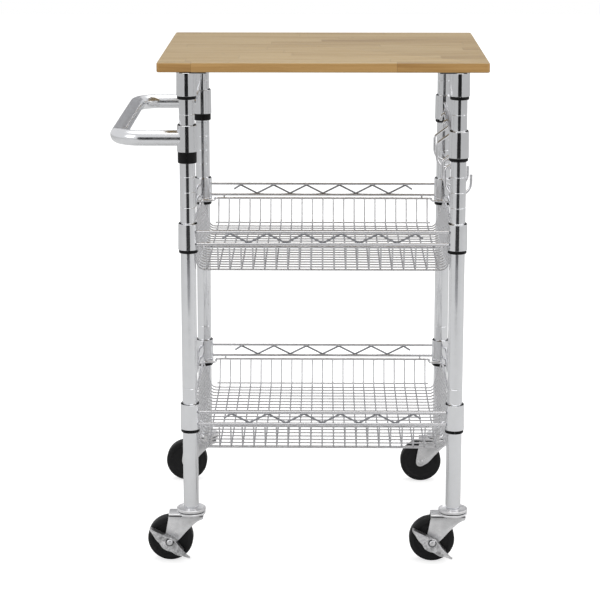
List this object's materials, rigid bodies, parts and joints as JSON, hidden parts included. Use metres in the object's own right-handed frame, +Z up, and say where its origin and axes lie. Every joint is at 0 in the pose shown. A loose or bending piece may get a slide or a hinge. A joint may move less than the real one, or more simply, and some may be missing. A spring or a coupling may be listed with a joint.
{
  "type": "kitchen island cart",
  "caption": "Rolling kitchen cart: wooden top on chromed posts, wire baskets, push handle, side rack with swinging hooks, swivel casters with brake levers.",
  "frame": {"origin": "on the floor under the middle of the whole object's bounding box", "axes": "+X to the cart's right, away from the push handle; +Y to the back; +Z up"},
  "size_m": [0.614, 0.4837, 0.84],
  "materials": {
    "worktop_wood": "clear-lacquered beech or bamboo staves",
    "chrome_socket": "chrome-plated steel",
    "post_chrome": "chrome-plated steel tube",
    "collar_chrome": "chrome-plated steel",
    "handle_chrome": "chrome-plated steel tube",
    "wire_chrome": "chrome-plated welded wire",
    "mesh_chrome": "chrome-plated welded wire",
    "hook_chrome": "chrome-plated bent wire",
    "sleeve_plastic": "moulded black",
    "insert_plastic": "moulded black",
    "screw_steel": "zinc-plated screws",
    "caster_zinc": "bright zinc-plated pressed steel",
    "axle_steel": "zinc-plated rivet",
    "lever_zinc": "bright zinc-plated pressed steel",
    "ball_steel": "hardened steel balls",
    "wheel_rubber": "black moulded wheel",
    "bush_plastic": "moulded"
  },
  "bodies": {
    "cart": {"worktop": "worktop_wood", "worktop_sockets": "chrome_socket", "worktop_screws": "screw_steel", "socket_sleeves": "sleeve_plastic", "upper_sleeves": "sleeve_plastic", "lower_sleeves": "sleeve_plastic", "handle_sleeves": "sleeve_plastic", "rack_sleeves": "sleeve_plastic", "post_front_left": "post_chrome", "post_front_right": "post_chrome", "post_back_left": "post_chrome", "post_back_right": "post_chrome", "post_inserts": "insert_plastic", "upper_collars": "collar_chrome", "lower_collars": "collar_chrome", "handle_collars": "collar_chrome", "rack_collars": "collar_chrome", "upper_rails": "wire_chrome", "upper_trusses": "wire_chrome", "upper_rim": "wire_chrome", "upper_ties": "wire_chrome", "upper_cross_wires": "mesh_chrome", "upper_long_wires": "mesh_chrome", "lower_rails": "wire_chrome", "lower_trusses": "wire_chrome", "lower_rim": "wire_chrome", "lower_ties": "wire_chrome", "lower_cross_wires": "mesh_chrome", "lower_long_wires": "mesh_chrome", "handle_tube": "handle_chrome", "rack_rails": "wire_chrome", "rack_truss": "wire_chrome", "caster_stems": "caster_zinc", "caster_races": "caster_zinc", "caster_balls": "ball_steel"},
    "caster_front_left": {"fork_front_left": "caster_zinc", "axle_front_left": "axle_steel"},
    "roller_front_left": {"wheel_front_left": "wheel_rubber", "bush_front_left": "bush_plastic"},
    "brake_front_left": {"brake_lever_front_left": "lever_zinc"},
    "caster_front_right": {"fork_front_right": "caster_zinc", "axle_front_right": "axle_steel"},
    "roller_front_right": {"wheel_front_right": "wheel_rubber", "bush_front_right": "bush_plastic"},
    "brake_front_right": {"brake_lever_front_right": "lever_zinc"},
    "caster_back_left": {"fork_back_left": "caster_zinc", "axle_back_left": "axle_steel"},
    "roller_back_left": {"wheel_back_left": "wheel_rubber", "bush_back_left": "bush_plastic"},
    "caster_back_right": {"fork_back_right": "caster_zinc", "axle_back_right": "axle_steel"},
    "roller_back_right": {"wheel_back_right": "wheel_rubber", "bush_back_right": "bush_plastic"},
    "hook_1_body": {"hook_1": "hook_chrome"},
    "hook_2_body": {"hook_2": "hook_chrome"},
    "hook_3_body": {"hook_3": "hook_chrome"},
    "hook_4_body": {"hook_4": "hook_chrome"}
  },
  "joints": [
    {"name": "swivel_front_left", "type": "hinge", "parent": "cart", "child": "caster_front_left", "pos_m": [-0.179, -0.2094, 0.0836], "axis": [0, 0, 1], "continuous": true},
    {"name": "roll_front_left", "type": "hinge", "parent": "caster_front_left", "child": "roller_front_left", "pos_m": [-0.214, -0.2094, 0.038], "axis": [0, 1, 0], "continuous": true},
    {"name": "brake_front_left", "type": "hinge", "parent": "caster_front_left", "child": "brake_front_left", "pos_m": [-0.214, -0.2314, 0.038], "axis": [0, 1, 0], "range_deg": [0, 14]},
    {"name": "swivel_front_right", "type": "hinge", "parent": "cart", "child": "caster_front_right", "pos_m": [0.26, -0.2094, 0.0836], "axis": [0, 0, 1], "continuous": true},
    {"name": "roll_front_right", "type": "hinge", "parent": "caster_front_right", "child": "roller_front_right", "pos_m": [0.225, -0.2094, 0.038], "axis": [0, 1, 0], "continuous": true},
    {"name": "brake_front_right", "type": "hinge", "parent": "caster_front_right", "child": "brake_front_right", "pos_m": [0.225, -0.2314, 0.038], "axis": [0, 1, 0], "range_deg": [0, 14]},
    {"name": "swivel_back_left", "type": "hinge", "parent": "cart", "child": "caster_back_left", "pos_m": [-0.179, 0.2176, 0.0836], "axis": [0, 0, 1], "continuous": true},
    {"name": "roll_back_left", "type": "hinge", "parent": "caster_back_left", "child": "roller_back_left", "pos_m": [-0.214, 0.2176, 0.038], "axis": [0, 1, 0], "continuous": true},
    {"name": "swivel_back_right", "type": "hinge", "parent": "cart", "child": "caster_back_right", "pos_m": [0.26, 0.2176, 0.0836], "axis": [0, 0, 1], "continuous": true},
    {"name": "roll_back_right", "type": "hinge", "parent": "caster_back_right", "child": "roller_back_right", "pos_m": [0.225, 0.2176, 0.038], "axis": [0, 1, 0], "continuous": true},
    {"name": "hook_swing_1", "type": "hinge", "parent": "cart", "child": "hook_1_body", "pos_m": [0.26, -0.1679, 0.6956], "axis": [0, 1, 0], "range_deg": [-25, 25]},
    {"name": "hook_swing_2", "type": "hinge", "parent": "cart", "child": "hook_2_body", "pos_m": [0.26, -0.0865, 0.6956], "axis": [0, 1, 0], "range_deg": [-25, 25]},
    {"name": "hook_swing_3", "type": "hinge", "parent": "cart", "child": "hook_3_body", "pos_m": [0.26, 0.0947, 0.6956], "axis": [0, 1, 0], "range_deg": [-25, 25]},
    {"name": "hook_swing_4", "type": "hinge", "parent": "cart", "child": "hook_4_body", "pos_m": [0.26, 0.1761, 0.6956], "axis": [0, 1, 0], "range_deg": [-25, 25]}
  ]
}
